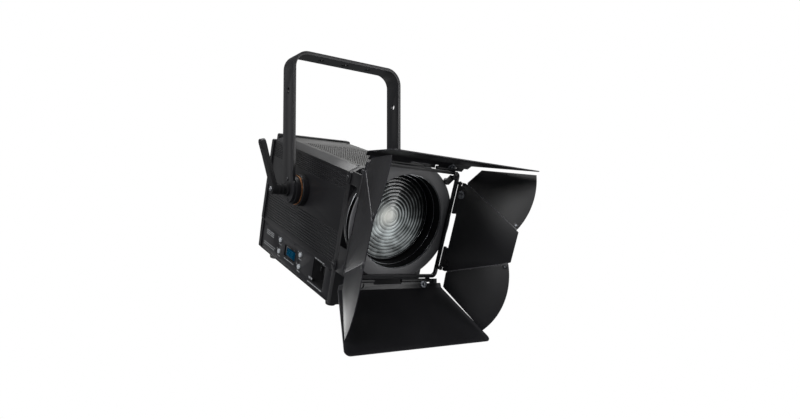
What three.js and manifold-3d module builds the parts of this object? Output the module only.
// Fresnel spotlight: a flat-bar yoke carries a ribbed lamp housing on two friction pivots. The housing
// holds a 127 mm stepped lens, an LED on a focusing carriage, a fan, a power supply and a side control
// panel. Four barn doors, the side ones with folding wings, hinge on a frame in front of the lens.
//
// Millimetres, +Z up, -Y along the beam, +X to the right of a viewer who looks along +Y.
// The origin is the middle of the yoke's top face, where a clamp's bolt goes through. The housing is
// drawn level about its pivot axis and then tilted as one group.

import * as THREE from 'three';
import { mergeVertices } from 'three/addons/utils/BufferGeometryUtils.js';
import Module from 'manifold-3d';

const wasm = await Module();
wasm.setup();

// ---------------------------------------------------------------- driving dimensions

const GAP = 0.3; // left between pieces that touch
const deg = (angle) => (angle * Math.PI) / 180;

// yoke
const YOKE_HALF = 102; // to the outer faces of the legs
const YOKE_T = 5;
const YOKE_BAR = 34;
const YOKE_DROP = 215; // top face down to the pivot axis
const YOKE_BEND = 27; // outer radius of the bends
const YOKE_END_R = 20.5; // round end about the pivot
const TOP_HOLE_X = 44.5;
const LEG_HOLE_DROP = 62;
const LEG_HOLE_R = 5;
const TILT = 17.7; // nose-down angle of the housing

// housing, level, about the pivot axis
const SIDE_X = 77;
const WALL = 3;
const ROOF_Z = 66;
const ROOF_HALF = 63;
const SHOULDER_Z = 58; // where the side turns in towards the roof
const STEP_Z = -84; // bottom of the ribbed sides, above the control panel
const BASE_Z = -134.6;
const FRONT_Y = -124.5;
const REAR_Y = 122.7;
const PANEL_X = 75.5; // outer faces of the lower side panels
const PANEL_T = 2;
const TRAY_Z = -84.5;
const BEAM_Z = -1.5; // beam axis, just below the pivot axis
const RIB_BANDS = [ // top groove of each ribbed band, number of grooves and their pitch
  { top: 53, count: 8, pitch: 2.9 },
  { top: -29, count: 6, pitch: 4.1 },
  { top: -54, count: 6, pitch: 4.1 },
];
const GROOVE_DEPTH = 0.9;
const FOOT_X = 62;

// controls on the left panel, sockets on the right one
const BAY = { y0: -104, y1: -68, z0: -124, z1: -88 };
const DISPLAY = { y0: -9, y1: 31, z0: -117.5, z1: -98.5 };
const BUTTONS = [[50, -97.5], [50, -117], [-25, -97.5], [-25, -117]];
const BUTTON_R = 4;
const SOCKET_Y = [-30, 12];
const SOCKET_Z = -109;

// front end, along the beam
const CAST_Y = -134.6; // front face of the casting's plate
const FLARE_Y = -151; // front rim of its round flare
const FLARE_R = 84;
const BARREL_R = 70.6;
const BARREL_FRONT_Y = -163.7;
const BARREL_BACK_Y = -118;
const BARREL_REAR_R = 64.8;
const LENS_R = 64.5;
const LENS_BACK_Y = -131.5;
const LENS_RINGS = 7;
const RING_Y = -166.2; // front face of the accessory ring
const RING_T = 2.2;
const RING_IN_R = 69.5;
const RING_OUT_R = 87.5;
const RING_FLAT = 82; // the ring is clipped flat at its top and bottom
const STAY_HALF = 22;
const LATCH_R = 90; // beam axis to the latch's pin
const LATCH_Y = -167.5;

// barn doors
const FRAME_OUT = 82; // half the frame's outer side
const FRAME_IN = 77.5;
const FRAME_BACK_Y = -166.6;
const FRAME_FRONT_Y = -171;
const DOOR_TURN = 2; // the frame sits turned this far clockwise in its slot, in degrees
const HINGE_R = 85; // beam axis to each hinge axis
const HINGE_Y = -172.3;
const EAR_IN = 64; // hinge ears of the frame, along each hinge
const EAR_OUT = 68;
const PIN_R = 1.3;
const KNUCKLE_R = 2.2;
const KNUCKLE_LENGTH = 16;
const EAR_STEP = 4; // a leaf's sheet steps this far out from its hinge axis beside the ears
const FLANGE = 12; // depth of the bent flange along the hinge of the top and bottom leaves
const FLANGE_BEND = 38; // degrees away from the beam
const WIDE_NOTCH = [-33, 15, 4.5]; // notch in a hinge edge: from, to, depth
const SIDE_NOTCH = [-32, 20, 5];
const LEAF_T = 1.2;
const LEAF_LENGTH = 113;
const LEAF_ROOT_HALF = 90; // top and bottom leaves, at the hinge
const LEAF_TIP_HALF = 124; // and at the free edge
const SIDE_LEAF_LENGTH = 104;
const FOLD_ROOT = [69, 9]; // diagonal fold of a side leaf: along the hinge, out from it
const FOLD_TIP = [24, 103];
const FOLD_CLEAR = 0.85; // between a fold's axis and the metal on either side
const WING_R = 102;
const TOP_OPEN = 14;
const BOTTOM_OPEN = 30;
const SIDE_OPEN = 22;

// pivots, outward from the side wall
const BOSS_R = 24.6;
const BOSS_X = 87;
const WASHER_R = 23;
const WASHER_X = 88.8;
const DISC_R = 22;
const DISC_X = YOKE_HALF - YOKE_T - GAP;
const BOLT_R = 5.8;
const BORE_R = 6.2;

// optics on the focusing carriage
const LED_Y = -73;
const SINK_FRONT_Y = -70;
const SINK_HALF = 48;
const FIN_LENGTH = 56;
const FIN_COUNT = 11;
const ROD_X = 55;
const ROD_Z = -30;
const ROD_R = 4;
const SCREW_Z = -53;

// fan
const FAN_Z = 13;
const FAN_HALF = 40;
const FAN_Y = 97.5;

// ---------------------------------------------------------------- solids

function toSolid(geometry) {
  const bare = geometry.clone();
  bare.deleteAttribute('normal');
  bare.deleteAttribute('uv');
  const merged = mergeVertices(bare, 1e-4);
  const index = Array.from(merged.index.array);
  const kept = [];
  for (let i = 0; i < index.length; i += 3) {
    const [a, b, c] = [index[i], index[i + 1], index[i + 2]];
    if (a !== b && b !== c && c !== a) kept.push(a, b, c);
  }
  const points = merged.attributes.position.array;
  if (signedVolume(points, kept) < 0) {
    for (let i = 0; i < kept.length; i += 3) [kept[i + 1], kept[i + 2]] = [kept[i + 2], kept[i + 1]];
  }
  return new wasm.Manifold(new wasm.Mesh({
    numProp: 3,
    vertProperties: new Float32Array(points),
    triVerts: new Uint32Array(kept),
  }));
}

function signedVolume(points, index) {
  const a = new THREE.Vector3();
  const b = new THREE.Vector3();
  const c = new THREE.Vector3();
  let volume = 0;
  for (let i = 0; i < index.length; i += 3) {
    a.fromArray(points, 3 * index[i]);
    b.fromArray(points, 3 * index[i + 1]);
    c.fromArray(points, 3 * index[i + 2]);
    volume += a.dot(b.cross(c)) / 6;
  }
  return volume;
}

function toGeometry(solid) {
  const mesh = solid.getMesh();
  const points = new Float32Array(mesh.numVert * 3);
  for (let i = 0; i < mesh.numVert; i += 1) {
    for (let k = 0; k < 3; k += 1) points[3 * i + k] = mesh.vertProperties[mesh.numProp * i + k];
  }
  const geometry = new THREE.BufferGeometry();
  geometry.setAttribute('position', new THREE.BufferAttribute(points, 3));
  geometry.setIndex(new THREE.BufferAttribute(new Uint32Array(mesh.triVerts), 1));
  geometry.computeVertexNormals();
  return geometry;
}

const join = (geometries) => geometries.map(toSolid).reduce((all, one) => all.add(one));

function build(adds, cuts = []) {
  let solid = join(adds);
  if (cuts.length > 0) solid = solid.subtract(join(cuts));
  return toGeometry(solid);
}

// ---------------------------------------------------------------- simple geometries

function box(x0, x1, y0, y1, z0, z1) {
  const geometry = new THREE.BoxGeometry(x1 - x0, y1 - y0, z1 - z0);
  return geometry.translate((x0 + x1) / 2, (y0 + y1) / 2, (z0 + z1) / 2);
}

function rodX(radius, x0, x1, y, z, sides = 24) {
  const geometry = new THREE.CylinderGeometry(radius, radius, x1 - x0, sides);
  return geometry.rotateZ(Math.PI / 2).translate((x0 + x1) / 2, y, z);
}

function rodY(radius, y0, y1, x, z, sides = 24) {
  const geometry = new THREE.CylinderGeometry(radius, radius, y1 - y0, sides);
  return geometry.translate(x, (y0 + y1) / 2, z);
}

function rodZ(radius, z0, z1, x, y, sides = 24, topRadius = radius) {
  const geometry = new THREE.CylinderGeometry(topRadius, radius, z1 - z0, sides);
  return geometry.rotateX(Math.PI / 2).translate(x, y, (z0 + z1) / 2);
}

// An outline turned about the Y axis: points are [radius, y].
function turned(points, sides = 48) {
  return new THREE.LatheGeometry(points.map(([r, y]) => new THREE.Vector2(r, y)), sides);
}

// A closed ring section turned about the Y axis.
const turnedRing = (points, sides = 48) => turned([...points, points[0]], sides);

const outline = (points) => new THREE.Shape(points.map(([a, b]) => new THREE.Vector2(a, b)));

function extruded(shape, depth, curveSegments = 8) {
  return new THREE.ExtrudeGeometry(shape, { depth, bevelEnabled: false, curveSegments, steps: 1 });
}

// Shapes drawn in (x, z), between two values of y.
function sectionY(shape, y0, y1, curveSegments) {
  return extruded(shape, y1 - y0, curveSegments).rotateX(Math.PI / 2).translate(0, y1, 0);
}

// Shapes drawn in (y, z), between two values of x.
function sectionX(shape, x0, x1, curveSegments) {
  const turn = new THREE.Matrix4().set(0, 0, 1, x0, 1, 0, 0, 0, 0, 1, 0, 0, 0, 0, 0, 1);
  return extruded(shape, x1 - x0, curveSegments).applyMatrix4(turn);
}

// Shapes drawn in (x, y), between two values of z.
function sectionZ(shape, z0, z1, curveSegments) {
  return extruded(shape, z1 - z0, curveSegments).translate(0, 0, z0);
}

function roundedRect(x0, x1, y0, y1, r) {
  const shape = new THREE.Shape();
  shape.moveTo(x0 + r, y0);
  shape.lineTo(x1 - r, y0);
  shape.absarc(x1 - r, y0 + r, r, -Math.PI / 2, 0, false);
  shape.lineTo(x1, y1 - r);
  shape.absarc(x1 - r, y1 - r, r, 0, Math.PI / 2, false);
  shape.lineTo(x0 + r, y1);
  shape.absarc(x0 + r, y1 - r, r, Math.PI / 2, Math.PI, false);
  shape.lineTo(x0, y0 + r);
  shape.absarc(x0 + r, y0 + r, r, Math.PI, 1.5 * Math.PI, false);
  return shape;
}

const mirrorX = (geometry) => toGeometry(toSolid(geometry.clone().scale(-1, 1, 1)));

// ---------------------------------------------------------------- materials

function finish(color, roughness, metalness) {
  return new THREE.MeshStandardMaterial({ color, roughness, metalness });
}

const blackPaint = finish(0x1b1b1e, 0.55, 0.2);
const greyPaint = finish(0x4a4a4e, 0.5, 0.3);
const blackPlastic = finish(0x141416, 0.6, 0);
const rubber = finish(0x101010, 0.9, 0);
const steel = finish(0xa8acb0, 0.35, 1);
const aluminium = finish(0xb9bcc0, 0.45, 1);
const copper = finish(0xb56a3c, 0.4, 1);
const glass = finish(0xdfe6e8, 0.05, 0);
const buttonMetal = finish(0xbfc6ca, 0.35, 0.9);
const displayBlue = finish(0x0c3a55, 0.2, 0);
const boardGreen = finish(0x1e4a2c, 0.6, 0);

// ---------------------------------------------------------------- assembly helpers

const spotlight = new THREE.Group();
const yokeGroup = new THREE.Group();
yokeGroup.name = 'at_pivot';
yokeGroup.position.set(0, 0, -YOKE_DROP);
const housing = new THREE.Group();
housing.name = 'at_housing';
housing.rotation.x = deg(TILT);
const beam = new THREE.Group();
beam.name = 'at_beam';
beam.position.set(0, 0, BEAM_Z);
spotlight.add(yokeGroup);
yokeGroup.add(housing);
housing.add(beam);

function piece(parent, name, geometry, material) {
  const mesh = new THREE.Mesh(geometry, material);
  mesh.name = name;
  parent.add(mesh);
  return mesh;
}

// ---------------------------------------------------------------- yoke and pivots

function yokeGeometry() {
  const side = new THREE.Shape();
  const inner = YOKE_BEND - YOKE_T;
  const top = YOKE_DROP;
  const x0 = YOKE_HALF;
  const x1 = YOKE_HALF - YOKE_T;
  side.moveTo(x0, 0);
  side.lineTo(x0, top - YOKE_BEND);
  side.absarc(x0 - YOKE_BEND, top - YOKE_BEND, YOKE_BEND, 0, Math.PI / 2, false);
  side.lineTo(-x0 + YOKE_BEND, top);
  side.absarc(-x0 + YOKE_BEND, top - YOKE_BEND, YOKE_BEND, Math.PI / 2, Math.PI, false);
  side.lineTo(-x0, 0);
  side.lineTo(-x1, 0);
  side.lineTo(-x1, top - YOKE_BEND);
  side.absarc(-x1 + inner, top - YOKE_BEND, inner, Math.PI, Math.PI / 2, true);
  side.lineTo(x1 - inner, top - YOKE_T);
  side.absarc(x1 - inner, top - YOKE_BEND, inner, Math.PI / 2, 0, true);
  side.lineTo(x1, 0);
  const adds = [sectionY(side, -YOKE_BAR / 2, YOKE_BAR / 2, 8)];
  const cuts = [rodZ(6.3, top - 10, top + 5, 0, 0, 20)];
  for (const s of [-1, 1]) {
    const [low, high] = s < 0 ? [-x0, -x1] : [x1, x0];
    adds.push(rodX(YOKE_END_R, low, high, 0, 0, 32));
    cuts.push(rodX(BORE_R, low - 1, high + 1, 0, 0, 20));
    cuts.push(rodX(LEG_HOLE_R, low - 1, high + 1, 0, top - LEG_HOLE_DROP, 16));
    cuts.push(rodZ(5.2, top - 10, top + 5, s * TOP_HOLE_X, 0, 18));
  }
  return build(adds, cuts);
}

// A plain disc on the pivot axis of the right-hand side, with the bolt's bore.
function pivotDisc(radius, x0, x1) {
  return build([rodX(radius, x0, x1, 0, 0, 32)], [rodX(BORE_R, x0 - 1, x1 + 1, 0, 0, 20)]);
}

// The bolt's inner flange bears on the inside of the housing's wall.
function pivotBolt(outerX, headR, headX) {
  const adds = [
    rodX(BOLT_R, SIDE_X - WALL - 5, outerX, 0, 0, 20),
    rodX(10, SIDE_X - WALL - 4.5, SIDE_X - WALL - GAP, 0, 0, 6),
  ];
  if (headR > 0) adds.push(rodX(headR, YOKE_HALF + GAP, headX, 0, 0, 24));
  return build(adds);
}

// Clamp lever: a hub on the left bolt and an arm that leans outward to a rounded paddle.
function clampLever() {
  const hubEnd = 129;
  const hubR = 8;
  const armLength = 75;
  const lean = deg(16);
  const arm = new THREE.Shape();
  arm.moveTo(-7, 0);
  arm.lineTo(-5.8, armLength - 26);
  arm.lineTo(-6.6, armLength - 14);
  arm.absarc(0, armLength - 6.6, 6.6, Math.PI, 0, true);
  arm.lineTo(5.8, armLength - 26);
  arm.lineTo(7, 0);
  const plate = sectionX(arm, 0, 7, 8).rotateY(lean * -1).translate(-hubEnd + 1.5, 0, 1);
  const adds = [
    rodX(hubR, -hubEnd, -YOKE_HALF - GAP, 0, 0, 24),
    rodX(hubR + 2.5, -YOKE_HALF - 3.5, -YOKE_HALF - GAP, 0, 0, 24),
    plate,
  ];
  return build(adds, [rodX(BORE_R - 0.1, -123.5, -YOKE_HALF + 1, 0, 0, 20)]);
}

piece(yokeGroup, 'yoke', yokeGeometry(), blackPaint);
piece(yokeGroup, 'clamp_lever', clampLever(), blackPlastic);
piece(yokeGroup, 'pivot_bolt_right', pivotBolt(108, 10, 108.5), blackPaint);
piece(yokeGroup, 'pivot_bolt_left', mirrorX(pivotBolt(123, 0, 0)), steel);
for (const [name, flip] of [['right', false], ['left', true]]) {
  const place = (geometry) => (flip ? mirrorX(geometry) : geometry);
  const disc = pivotDisc(DISC_R, WASHER_X + GAP, DISC_X);
  const washer = pivotDisc(WASHER_R, BOSS_X + GAP, WASHER_X);
  const boss = pivotDisc(BOSS_R, SIDE_X + GAP, BOSS_X);
  piece(yokeGroup, `pivot_disc_${name}`, place(disc), blackPaint);
  piece(housing, `friction_washer_${name}`, place(washer), copper);
  piece(housing, `pivot_boss_${name}`, place(boss), blackPaint);
}

// ---------------------------------------------------------------- housing shell

function sideExtrusion() {
  const x = SIDE_X;
  const points = [[x, SHOULDER_Z], [ROOF_HALF + GAP, ROOF_Z], [ROOF_HALF + GAP, ROOF_Z - 2.6]];
  points.push([ROOF_HALF - 6, ROOF_Z - 2.6], [ROOF_HALF - 6, ROOF_Z - 4.6]);
  points.push([x - WALL - 3, ROOF_Z - 4.6], [x - WALL, SHOULDER_Z - 2]);
  points.push([x - WALL, STEP_Z], [x, STEP_Z]);
  for (const band of [...RIB_BANDS].reverse()) {
    for (let i = band.count - 1; i >= 0; i -= 1) {
      const z = band.top - i * band.pitch;
      const half = band.pitch / 4;
      points.push([x, z - half], [x - GROOVE_DEPTH, z - half * 0.6]);
      points.push([x - GROOVE_DEPTH, z + half * 0.6], [x, z + half]);
    }
  }
  const bore = rodX(BORE_R, x - 10, x + 5, 0, 0, 20);
  return build([sectionY(outline(points), FRONT_Y, REAR_Y)], [bore]);
}

function bodyOutline(grow) {
  const x = SIDE_X + grow;
  return outline([
    [-x, BASE_Z], [x, BASE_Z], [x, SHOULDER_Z + grow], [ROOF_HALF + grow, ROOF_Z + grow],
    [-ROOF_HALF - grow, ROOF_Z + grow], [-x, SHOULDER_Z + grow],
  ]);
}

function rearCover() {
  const y1 = 131;
  const y0 = REAR_Y + GAP;
  const lipTop = sectionY(roundedRect(-70.5, 70.5, 0, ROOF_Z + 2.6, 3), y0, y1, 4);
  const lipSides = sectionY(roundedRect(-SIDE_X - 1.8, SIDE_X + 1.8, STEP_Z + 1, SHOULDER_Z, 3), y0, y1, 4);
  const lower = sectionY(roundedRect(-SIDE_X, SIDE_X, BASE_Z, 0, 3), y0, y1, 4);
  const cuts = [box(-68, 68, y0 - 1, y1 - 3, -78, 56), box(-70, 70, y0 - 1, y1 - 3, BASE_Z + 6, -88)];
  for (let i = -3; i <= 3; i += 1) {
    const z = FAN_Z + i * 10;
    const half = Math.sqrt(38 ** 2 - (i * 10) ** 2) - 2;
    cuts.push(sectionY(roundedRect(-half, half, z - 2.8, z + 2.8, 2.7), y1 - 5, y1 + 1, 2));
  }
  return build([lipTop, lipSides, lower], cuts);
}

function frontCasting() {
  const plate = sectionY(bodyOutline(0), CAST_Y, FRONT_Y - GAP);
  const flare = turnedRing([
    [76, FRONT_Y - GAP - 1], [77.5, CAST_Y + 2], [80.5, CAST_Y - 4], [83.3, CAST_Y - 10],
    [FLARE_R, FLARE_Y + 3], [FLARE_R, FLARE_Y], [FLARE_R - 3, FLARE_Y], [FLARE_R - 4, FLARE_Y + 4],
    [74, CAST_Y + 2], [73, FRONT_Y - GAP - 1],
  ], 48).translate(0, 0, BEAM_Z);
  const bore = rodY(BARREL_R + 0.4, CAST_Y - 1, FRONT_Y + 1, 0, BEAM_Z, 48);
  const pocket = box(-68, 68, CAST_Y + 3, FRONT_Y + 1, BASE_Z + 6, -82);
  return build([plate, flare], [bore, pocket]);
}

function roofCover() {
  return build([box(-ROOF_HALF, ROOF_HALF, FRONT_Y, REAR_Y, ROOF_Z - 2.3, ROOF_Z - 0.3)]);
}

// Lower side panel, right-hand side: plain sheet with two round socket holes.
function rightPanel() {
  const sheet = box(PANEL_X - PANEL_T, PANEL_X, FRONT_Y, REAR_Y, BASE_Z + 2.7, STEP_Z - GAP);
  const holes = SOCKET_Y.map((y) => rodX(12.3, PANEL_X - 5, PANEL_X + 5, y, SOCKET_Z, 24));
  return build([sheet], holes);
}

function controlPanel() {
  const sheet = box(-PANEL_X, -PANEL_X + PANEL_T, FRONT_Y, REAR_Y, BASE_Z + 2.7, STEP_Z - GAP);
  const cut = (w) => box(-PANEL_X - 5, -PANEL_X + 5, w.y0, w.y1, w.z0, w.z1);
  const holes = BUTTONS.map(([y, z]) => rodX(BUTTON_R + 0.4, -PANEL_X - 5, -PANEL_X + 5, y, z, 20));
  return build([sheet], [cut(BAY), cut(DISPLAY), ...holes]);
}

const leftSide = mirrorX(sideExtrusion());
piece(housing, 'side_extrusion_right', sideExtrusion(), blackPaint);
piece(housing, 'side_extrusion_left', leftSide, blackPaint);
piece(housing, 'roof_cover', roofCover(), greyPaint);
const basePlate = build([box(-PANEL_X, PANEL_X, FRONT_Y, REAR_Y, BASE_Z, BASE_Z + 2.4)]);
piece(housing, 'base_plate', basePlate, blackPaint);
piece(housing, 'chassis_tray', build([box(-73.2, 73.2, FRONT_Y, REAR_Y, TRAY_Z - 1.8, TRAY_Z)]), aluminium);
piece(housing, 'rear_cover', rearCover(), blackPaint);
piece(housing, 'front_casting', frontCasting(), blackPaint);
piece(housing, 'control_panel', controlPanel(), blackPaint);
piece(housing, 'right_panel', rightPanel(), blackPaint);

for (const [name, x, y] of [
  ['front_left', -FOOT_X, -112], ['front_right', FOOT_X, -112],
  ['rear_left', -FOOT_X, 92], ['rear_right', FOOT_X, 92],
]) {
  const foot = rodZ(7.5, BASE_Z - 9, BASE_Z - GAP, x, y, 20, 9);
  piece(housing, `foot_${name}`, build([foot]), rubber);
}

// ---------------------------------------------------------------- controls and sockets

function button([y, z]) {
  const cap = rodX(BUTTON_R, -PANEL_X - 1.8, -PANEL_X + PANEL_T + 1, y, z, 20);
  const flange = rodX(BUTTON_R + 1, -PANEL_X + PANEL_T + GAP, -PANEL_X + PANEL_T + 1.5, y, z, 20);
  return build([cap, flange]);
}

['up', 'down', 'menu', 'enter'].forEach((name, i) => {
  piece(housing, `button_${name}`, button(BUTTONS[i]), buttonMetal);
});

function displayModule() {
  const d = DISPLAY;
  const face = box(-PANEL_X + 0.6, -71, d.y0 + GAP, d.y1 - GAP, d.z0 + GAP, d.z1 - GAP);
  const back = box(-PANEL_X + PANEL_T + GAP, -71, d.y0 - 2, d.y1 + 2, d.z0 - 2, d.z1 + 2);
  return build([face, back]);
}

function connectorBay() {
  const { y0, y1, z0, z1 } = BAY;
  const t = 1.2;
  const outer = box(-PANEL_X + PANEL_T + GAP, -44, y0 - t, y1 + t, z0 - t, z1 + t);
  const inner = box(-PANEL_X, -45.5, y0, y1, z0, z1);
  return build([outer], [inner, rodX(11.3, -50, -40, (y0 + y1) / 2, (z0 + z1) / 2, 24)]);
}

// Round locking mains inlet in the bay's floor: a flange, a well and its central key.
function powerInlet() {
  const y = (BAY.y0 + BAY.y1) / 2;
  const z = (BAY.z0 + BAY.z1) / 2;
  const adds = [rodX(11, -60, -32, y, z, 24), rodX(13.5, -48, -45.8, y, z, 24)];
  const cuts = [rodX(8.8, -61, -46, y, z, 24)];
  const shell = join(adds).subtract(join(cuts));
  return toGeometry(shell.add(join([rodX(3, -58, -44, y, z, 12)])));
}

// Round data socket on the right panel: body, flange and well.
function dataSocket(y) {
  const body = rodX(12, 50, PANEL_X + 0.8, y, SOCKET_Z, 24);
  const flange = rodX(13.6, PANEL_X + GAP, PANEL_X + 2, y, SOCKET_Z, 24);
  return build([body, flange], [rodX(9, 58, PANEL_X + 3, y, SOCKET_Z, 24)]);
}

piece(housing, 'display', build([displayModule()]), displayBlue);
piece(housing, 'connector_bay', connectorBay(), blackPlastic);
piece(housing, 'power_inlet', powerInlet(), blackPlastic);
piece(housing, 'data_socket_in', dataSocket(SOCKET_Y[0]), blackPlastic);
piece(housing, 'data_socket_out', dataSocket(SOCKET_Y[1]), blackPlastic);
piece(housing, 'control_board', build([box(-69.4, -67.8, -42, 66, -128, -90)]), boardGreen);

// ---------------------------------------------------------------- lens end

function lensBarrel() {
  return turnedRing([
    [BARREL_REAR_R, BARREL_BACK_Y], [BARREL_REAR_R, FRONT_Y - GAP], [BARREL_R, FRONT_Y - GAP],
    [BARREL_R, BARREL_FRONT_Y], [RING_IN_R - 0.4, BARREL_FRONT_Y], [RING_IN_R - 0.4, FLARE_Y],
    [67, FLARE_Y], [67, LENS_BACK_Y], [60.5, LENS_BACK_Y + GAP], [60.5, BARREL_BACK_Y],
  ], 40);
}

// Stepped lens: flat back, a convex bull's-eye and rings that each fall back to a step.
function fresnelLens() {
  const eye = 15;
  const step = 2.6;
  const points = [[0, LENS_BACK_Y - GAP], [LENS_R, LENS_BACK_Y - GAP], [LENS_R, LENS_BACK_Y - 3]];
  const ringWidth = (LENS_R - 1.5 - eye) / LENS_RINGS;
  points.push([LENS_R - 1.5, LENS_BACK_Y - 3]);
  for (let i = LENS_RINGS - 1; i >= 0; i -= 1) {
    const inner = eye + i * ringWidth;
    points.push([inner + 0.01, LENS_BACK_Y - 3 - step]);
    if (i > 0) points.push([inner, LENS_BACK_Y - 3]);
  }
  points.push([eye * 0.6, LENS_BACK_Y - 3 - step * 1.5], [0, LENS_BACK_Y - 3 - step * 1.8]);
  return turned(points, 36);
}

function retainingRing() {
  const y = LENS_BACK_Y - 3 - 2 * GAP;
  return turnedRing([[66.7, y], [66.7, y - 3], [63.4, y - 3], [63.4, y]], 48);
}

function accessoryRing() {
  const shape = new THREE.Shape();
  const corner = Math.asin(RING_FLAT / RING_OUT_R);
  shape.moveTo(RING_OUT_R * Math.cos(corner), -RING_FLAT);
  shape.absarc(0, 0, RING_OUT_R, -corner, corner, false);
  shape.lineTo(-RING_OUT_R * Math.cos(corner), RING_FLAT);
  shape.absarc(0, 0, RING_OUT_R, Math.PI - corner, Math.PI + corner, false);
  const hole = new THREE.Path();
  hole.absarc(0, 0, RING_IN_R, 0, 2 * Math.PI, true);
  shape.holes.push(hole);
  return build([sectionY(shape, RING_Y, RING_Y + RING_T, 24)]);
}

// Guide of the accessory slot, drawn on the right and used on the left: two arms from the casting, a
// rail behind the ring that joins them, and lips in front of the barn-door frame.
function accessoryBracket() {
  const x1 = FRAME_IN - 0.5;
  const x0 = x1 - 2;
  const back = CAST_Y - GAP;
  const front = RING_Y + RING_T + GAP;
  const lip = FRAME_FRONT_Y - GAP;
  const adds = [box(x0, x1, front, FLARE_Y - 2, -82, 62)];
  for (const [z0, z1, lipZ0, lipZ1, inset] of [[-82, -44, -62, -46, 0], [44, 62, 51, 62, 2.2]]) {
    adds.push(box(x0 - inset, x1, front, back, z0, z1));
    adds.push(box(x0 - 8, x1, back - 2, back, z0, z1));
    adds.push(box(x0 - inset, x1 - inset, lip - 1.6, front + 1, lipZ0, lipZ1));
    adds.push(box(x0 - inset, x1 + 3.2, lip - 1.6, lip, lipZ0, lipZ1));
  }
  return build(adds);
}

// Stay between the flare's rim and the ring, on the right, where the slot is open.
function ringStay() {
  return build([box(77, 80.4, RING_Y + RING_T + GAP, FLARE_Y - GAP, -STAY_HALF, STAY_HALF)]);
}

// Spring latch over the frame's upper right corner, drawn along its own radius.
function latchTongue() {
  const adds = [
    rodX(2.2, -5, 5, 0, 0, 12),
    box(-5, 5, -3.6, -2, -1, 10),
    box(-5, 5, -3.6, 1, -1, 1),
    box(-3.5, 3.5, -7.3, -5.6, 9, 20),
    box(-3.5, 3.5, -7.3, -2, 9, 11),
  ];
  return build(adds);
}

piece(beam, 'lens_barrel', build([lensBarrel()]), blackPaint);
piece(beam, 'fresnel_lens', build([fresnelLens()]), glass);
piece(beam, 'lens_retaining_ring', build([retainingRing()]), blackPaint);
piece(beam, 'accessory_ring', accessoryRing(), greyPaint);
piece(beam, 'accessory_bracket', mirrorX(accessoryBracket()), blackPaint);
piece(beam, 'ring_stay', ringStay(), blackPaint);

const latchTurn = new THREE.Group();
latchTurn.rotation.y = deg(45);
beam.add(latchTurn);
const latch = new THREE.Group();
latch.name = 'at_latch';
latch.position.set(0, LATCH_Y, LATCH_R);
latchTurn.add(latch);
piece(latch, 'accessory_latch', latchTongue(), blackPaint);

// ---------------------------------------------------------------- barn doors

// Leaf axes: X along the hinge, -Y out from the hinge, +Z towards the beam axis.
const doorTurn = new THREE.Group();
doorTurn.rotation.y = deg(DOOR_TURN);
beam.add(doorTurn);
const doors = {};
function doorGroups(name, roll, open) {
  const side = new THREE.Group();
  side.rotation.y = deg(roll);
  doorTurn.add(side);
  const hinge = new THREE.Group();
  hinge.name = `at_leaf_${name}`;
  hinge.position.set(0, HINGE_Y, -HINGE_R);
  hinge.rotation.x = deg(open);
  side.add(hinge);
  doors[name] = hinge;
  return hinge;
}

function barndoorFrame() {
  const shape = roundedRect(-FRAME_OUT, FRAME_OUT, -FRAME_OUT, FRAME_OUT, 8);
  shape.holes.push(roundedRect(-FRAME_IN, FRAME_IN, -FRAME_IN, FRAME_IN, 5));
  const adds = [sectionY(shape, FRAME_FRONT_Y, FRAME_BACK_Y, 4)];
  const cuts = [];
  for (let turn = 0; turn < 4; turn += 1) {
    for (const s of [-1, 1]) {
      const [x0, x1] = s < 0 ? [-EAR_OUT, -EAR_IN] : [EAR_IN, EAR_OUT];
      const ear = rodX(3.2, x0, x1, HINGE_Y, -HINGE_R, 12);
      const arm = box(x0, x1, HINGE_Y, FRAME_BACK_Y - 0.5, -HINGE_R - 1.5, -FRAME_OUT + 2);
      const bore = rodX(PIN_R + 0.3, x0 - 1, x1 + 1, HINGE_Y, -HINGE_R, 8);
      adds.push(ear.rotateY((turn * Math.PI) / 2), arm.rotateY((turn * Math.PI) / 2));
      cuts.push(bore.rotateY((turn * Math.PI) / 2));
    }
  }
  return build(adds, cuts);
}

// Two knuckles with their pins, at the ends of a leaf's hinge edge.
function knuckles() {
  const [inner, outer] = [EAR_IN - KNUCKLE_LENGTH, EAR_IN - GAP];
  const right = [rodX(KNUCKLE_R, inner, outer, 0, 0, 12), rodX(PIN_R, inner + 1, EAR_OUT + 1, 0, 0, 8)];
  return [...right, ...right.map(mirrorX)];
}

// The notch in a hinge edge: its ends slope, and it is open towards the frame.
function notch([from, to, depth]) {
  return sectionZ(outline([[from - 3, 1], [from, -depth], [to, -depth], [to + 3, 1]]), -30, 30);
}

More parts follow.
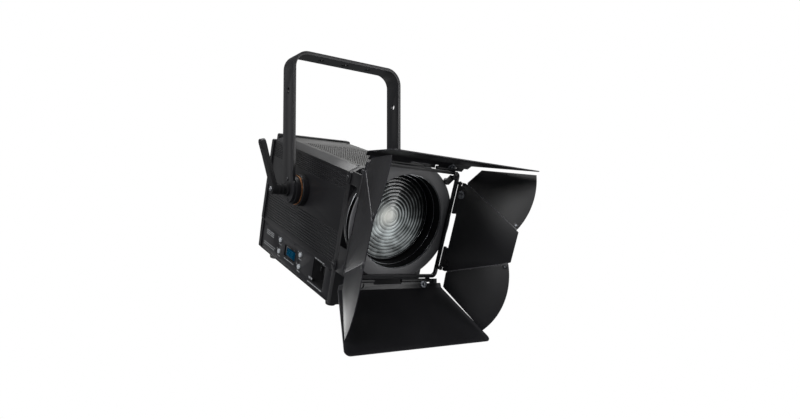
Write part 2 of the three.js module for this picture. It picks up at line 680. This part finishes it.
// Top and bottom leaves: a wide trapezium with rounded free corners, its sheet bent along a flange.
function wideLeaf() {
  const r = 7;
  const lean = Math.atan2(LEAF_TIP_HALF - LEAF_ROOT_HALF, LEAF_LENGTH);
  const plan = new THREE.Shape();
  const cx = LEAF_TIP_HALF - r * (1 + Math.tan(lean)) + 1;
  const cy = -LEAF_LENGTH + r;
  plan.moveTo(EAR_IN - 1, 2);
  plan.lineTo(-EAR_IN + 1, 2);
  plan.lineTo(-EAR_IN + 1, -EAR_STEP);
  plan.lineTo(-LEAF_ROOT_HALF, -EAR_STEP);
  plan.absarc(-cx, cy, r, Math.PI - lean, 1.5 * Math.PI, false);
  plan.absarc(cx, cy, r, -Math.PI / 2, lean, false);
  plan.lineTo(LEAF_ROOT_HALF, -EAR_STEP);
  plan.lineTo(EAR_IN - 1, -EAR_STEP);
  const hinge = new THREE.Vector2(0, 0);
  const bend = new THREE.Vector2(-FLANGE, 0).rotateAround(hinge, deg(FLANGE_BEND));
  const edge = new THREE.Vector2(-LEAF_LENGTH - 1, 0);
  const side = (from, to) => to.clone().sub(from).normalize().rotateAround(hinge, -Math.PI / 2);
  const flangeSide = side(hinge, bend).multiplyScalar(LEAF_T / 2);
  const sheetSide = side(bend, edge).multiplyScalar(LEAF_T / 2);
  const bendSide = flangeSide.clone().add(sheetSide).multiplyScalar(0.5);
  const walk = [[hinge, flangeSide], [bend, bendSide], [edge, sheetSide]];
  const section = [
    ...walk.map(([point, out]) => point.clone().add(out)),
    ...walk.reverse().map(([point, out]) => point.clone().sub(out)),
  ];
  const sheet = sectionX(new THREE.Shape(section), -LEAF_TIP_HALF - 2, LEAF_TIP_HALF + 2);
  const cut = toSolid(sheet).intersect(toSolid(sectionZ(plan, -30, 30, 6)));
  return toGeometry(cut.subtract(toSolid(notch(WIDE_NOTCH))).add(join(knuckles())));
}

// Centre panel of a side leaf: its two diagonal edges stop short of the fold axes.
function foldFrame(end) {
  const root = new THREE.Vector2(end * FOLD_ROOT[0], -FOLD_ROOT[1]);
  const tip = new THREE.Vector2(end * FOLD_TIP[0], -FOLD_TIP[1]);
  const along = tip.clone().sub(root).normalize();
  const outward = new THREE.Vector2(-along.y, along.x).multiplyScalar(end);
  return { root, tip, along, outward };
}

function narrowLeaf() {
  const ends = [1, -1].map(foldFrame);
  const [a, b] = ends.map(({ root, outward }) => root.clone().addScaledVector(outward, -FOLD_CLEAR));
  const [c, d] = ends.map(({ tip, outward }) => tip.clone().addScaledVector(outward, -FOLD_CLEAR));
  const shape = outline([
    [1 - EAR_IN, 0], [1 - EAR_IN, -EAR_STEP], [-EAR_OUT, -EAR_STEP], [b.x, b.y], [d.x, d.y],
    [d.x + 1, -SIDE_LEAF_LENGTH], [c.x - 1, -SIDE_LEAF_LENGTH], [c.x, c.y], [a.x, a.y],
    [EAR_OUT, -EAR_STEP], [EAR_IN - 1, -EAR_STEP], [EAR_IN - 1, 0],
  ]);
  return build([sectionZ(shape, -LEAF_T / 2, LEAF_T / 2), ...knuckles()], [notch(SIDE_NOTCH)]);
}

// Wing of a side leaf, in the fold's frame: X along the fold, Y away from the centre panel.
function wing(span, heel, flip) {
  const shape = new THREE.Shape();
  const a = deg(span);
  shape.moveTo(1.5, FOLD_CLEAR);
  shape.lineTo(heel[0], heel[1]);
  shape.lineTo(WING_R * Math.cos(a), WING_R * Math.sin(a));
  shape.absarc(0, 0, WING_R, a, deg(1), true);
  shape.lineTo(WING_R, FOLD_CLEAR);
  const plate = sectionZ(shape, -LEAF_T / 2, LEAF_T / 2, 10);
  return build([flip ? toGeometry(toSolid(plate.scale(1, -1, 1))) : plate]);
}

// A wing hangs on its leaf: the fold group's X axis runs out along the fold.
function addWing(name, leaf, end, fold, span, heel) {
  const { root, along } = foldFrame(end);
  const lie = new THREE.Group();
  lie.position.set(root.x, root.y, 0);
  lie.rotation.z = Math.atan2(along.y, along.x);
  doors[leaf].add(lie);
  const turn = new THREE.Group();
  turn.name = `at_wing_${name}`;
  turn.rotation.x = deg(fold);
  lie.add(turn);
  piece(turn, `wing_${name}`, wing(span, heel, end < 0), blackPaint);
}

piece(doorTurn, 'barndoor_frame', barndoorFrame(), blackPaint);
piece(doorGroups('bottom', 0, BOTTOM_OPEN), 'leaf_bottom', wideLeaf(), blackPaint);
piece(doorGroups('top', 180, TOP_OPEN), 'leaf_top', wideLeaf(), blackPaint);
piece(doorGroups('right', -90, SIDE_OPEN), 'leaf_right', narrowLeaf(), blackPaint);
piece(doorGroups('left', 90, SIDE_OPEN), 'leaf_left', narrowLeaf(), blackPaint);
addWing('right_upper', 'right', 1, -13, 47, [5, 29]);
addWing('right_lower', 'right', -1, -3, 63, [-7, 22]);
addWing('left_upper', 'left', -1, -4, 46, [2, 22]);
addWing('left_lower', 'left', 1, -1, 60, [-1, 25]);

// ---------------------------------------------------------------- inside the housing

function heatSink() {
  const adds = [box(-SINK_HALF, SINK_HALF, SINK_FRONT_Y, SINK_FRONT_Y + 7, -SINK_HALF, SINK_HALF)];
  const pitch = 76 / (FIN_COUNT - 1);
  for (let i = 0; i < FIN_COUNT; i += 1) {
    const x = -38 + i * pitch;
    adds.push(box(x - 1.1, x + 1.1, SINK_FRONT_Y + 6, SINK_FRONT_Y + 7 + FIN_LENGTH, -40, 40));
  }
  return build(adds);
}

function ledModule() {
  return build([
    box(-26, 26, LED_Y + 0.4, SINK_FRONT_Y - GAP, -26, 26),
    rodY(15, LED_Y - 1.5, LED_Y + 1, 0, 0, 24),
  ]);
}

// Carriage plate behind the heat sink's base; the fins pass through its window.
function carriage() {
  const y0 = SINK_FRONT_Y + 7 + GAP;
  const shape = roundedRect(-67, 67, -62, 52, 4);
  shape.holes.push(roundedRect(-42, 42, -42, 42, 3));
  const cuts = [rodY(3.3, y0 - 1, y0 + 10, 0, SCREW_Z, 16)];
  for (const s of [-1, 1]) cuts.push(rodY(ROD_R + 0.3, y0 - 1, y0 + 20, s * ROD_X, ROD_Z, 16));
  const bushes = [-1, 1].map((s) => rodY(8, y0, y0 + 14, s * ROD_X, ROD_Z, 16));
  return build([sectionY(shape, y0, y0 + 4, 4), ...bushes], cuts);
}

function focusMotor() {
  const [low, high] = [SCREW_Z - 21, SCREW_Z + 21];
  return build([box(-21, 21, 70, 95, low, high), box(-14, 14, 74, 92, low - 8, low + 1)]);
}

function leadScrew() {
  return build([rodY(3, -112, 69.6, 0, SCREW_Z, 12)]);
}

function fanFrame() {
  const y1 = REAR_Y - GAP;
  const shape = roundedRect(-FAN_HALF, FAN_HALF, -FAN_HALF, FAN_HALF, 5);
  const hole = new THREE.Path();
  hole.absarc(0, 0, FAN_HALF - 3, 0, 2 * Math.PI, true);
  shape.holes.push(hole);
  const hub = rodY(13, y1 - 4, y1, 0, 0, 20);
  const arm = () => box(-FAN_HALF + 1, FAN_HALF - 1, y1 - 3, y1, -2, 2);
  const arms = [arm(), arm().rotateY(Math.PI / 2)];
  return build([sectionY(shape, FAN_Y, y1, 12), hub, ...arms]).translate(0, 0, FAN_Z);
}

function fanRotor() {
  const y1 = REAR_Y - GAP - 4.6;
  const adds = [rodY(13, FAN_Y + 1, y1, 0, 0, 20)];
  for (let i = 0; i < 7; i += 1) {
    const blade = new THREE.BoxGeometry(24, 1.4, 15).rotateX(deg(-38)).translate(22.5, (FAN_Y + y1) / 2, 0);
    adds.push(blade.rotateY((i * 2 * Math.PI) / 7));
  }
  return build(adds).translate(0, 0, FAN_Z);
}

piece(beam, 'led_module', ledModule(), copper);
piece(beam, 'heat_sink', heatSink(), aluminium);
piece(beam, 'focus_carriage', carriage(), aluminium);
piece(beam, 'lead_screw', leadScrew(), steel);
for (const [name, s] of [['right', 1], ['left', -1]]) {
  const rod = rodY(ROD_R, BARREL_BACK_Y + GAP, REAR_Y, s * ROD_X, ROD_Z, 14);
  piece(beam, `guide_rod_${name}`, build([rod]), steel);
}
piece(beam, 'focus_motor', focusMotor(), blackPlastic);
piece(housing, 'fan_frame', fanFrame(), blackPlastic);
piece(housing, 'fan_rotor', fanRotor(), blackPlastic);
piece(housing, 'power_supply', build([box(-55, 46, 16, 118, BASE_Z + 2.7, -96)]), aluminium);
piece(housing, 'driver_board', build([
  box(-38, 62, -58, 4, BASE_Z + 5, BASE_Z + 6.6), box(-30, 10, -50, -8, BASE_Z + 6, BASE_Z + 24),
  box(-36, -30, -56, -50, BASE_Z + 2.7, BASE_Z + 6), box(54, 60, -6, 0, BASE_Z + 2.7, BASE_Z + 6),
]), boardGreen);

export default spotlight;
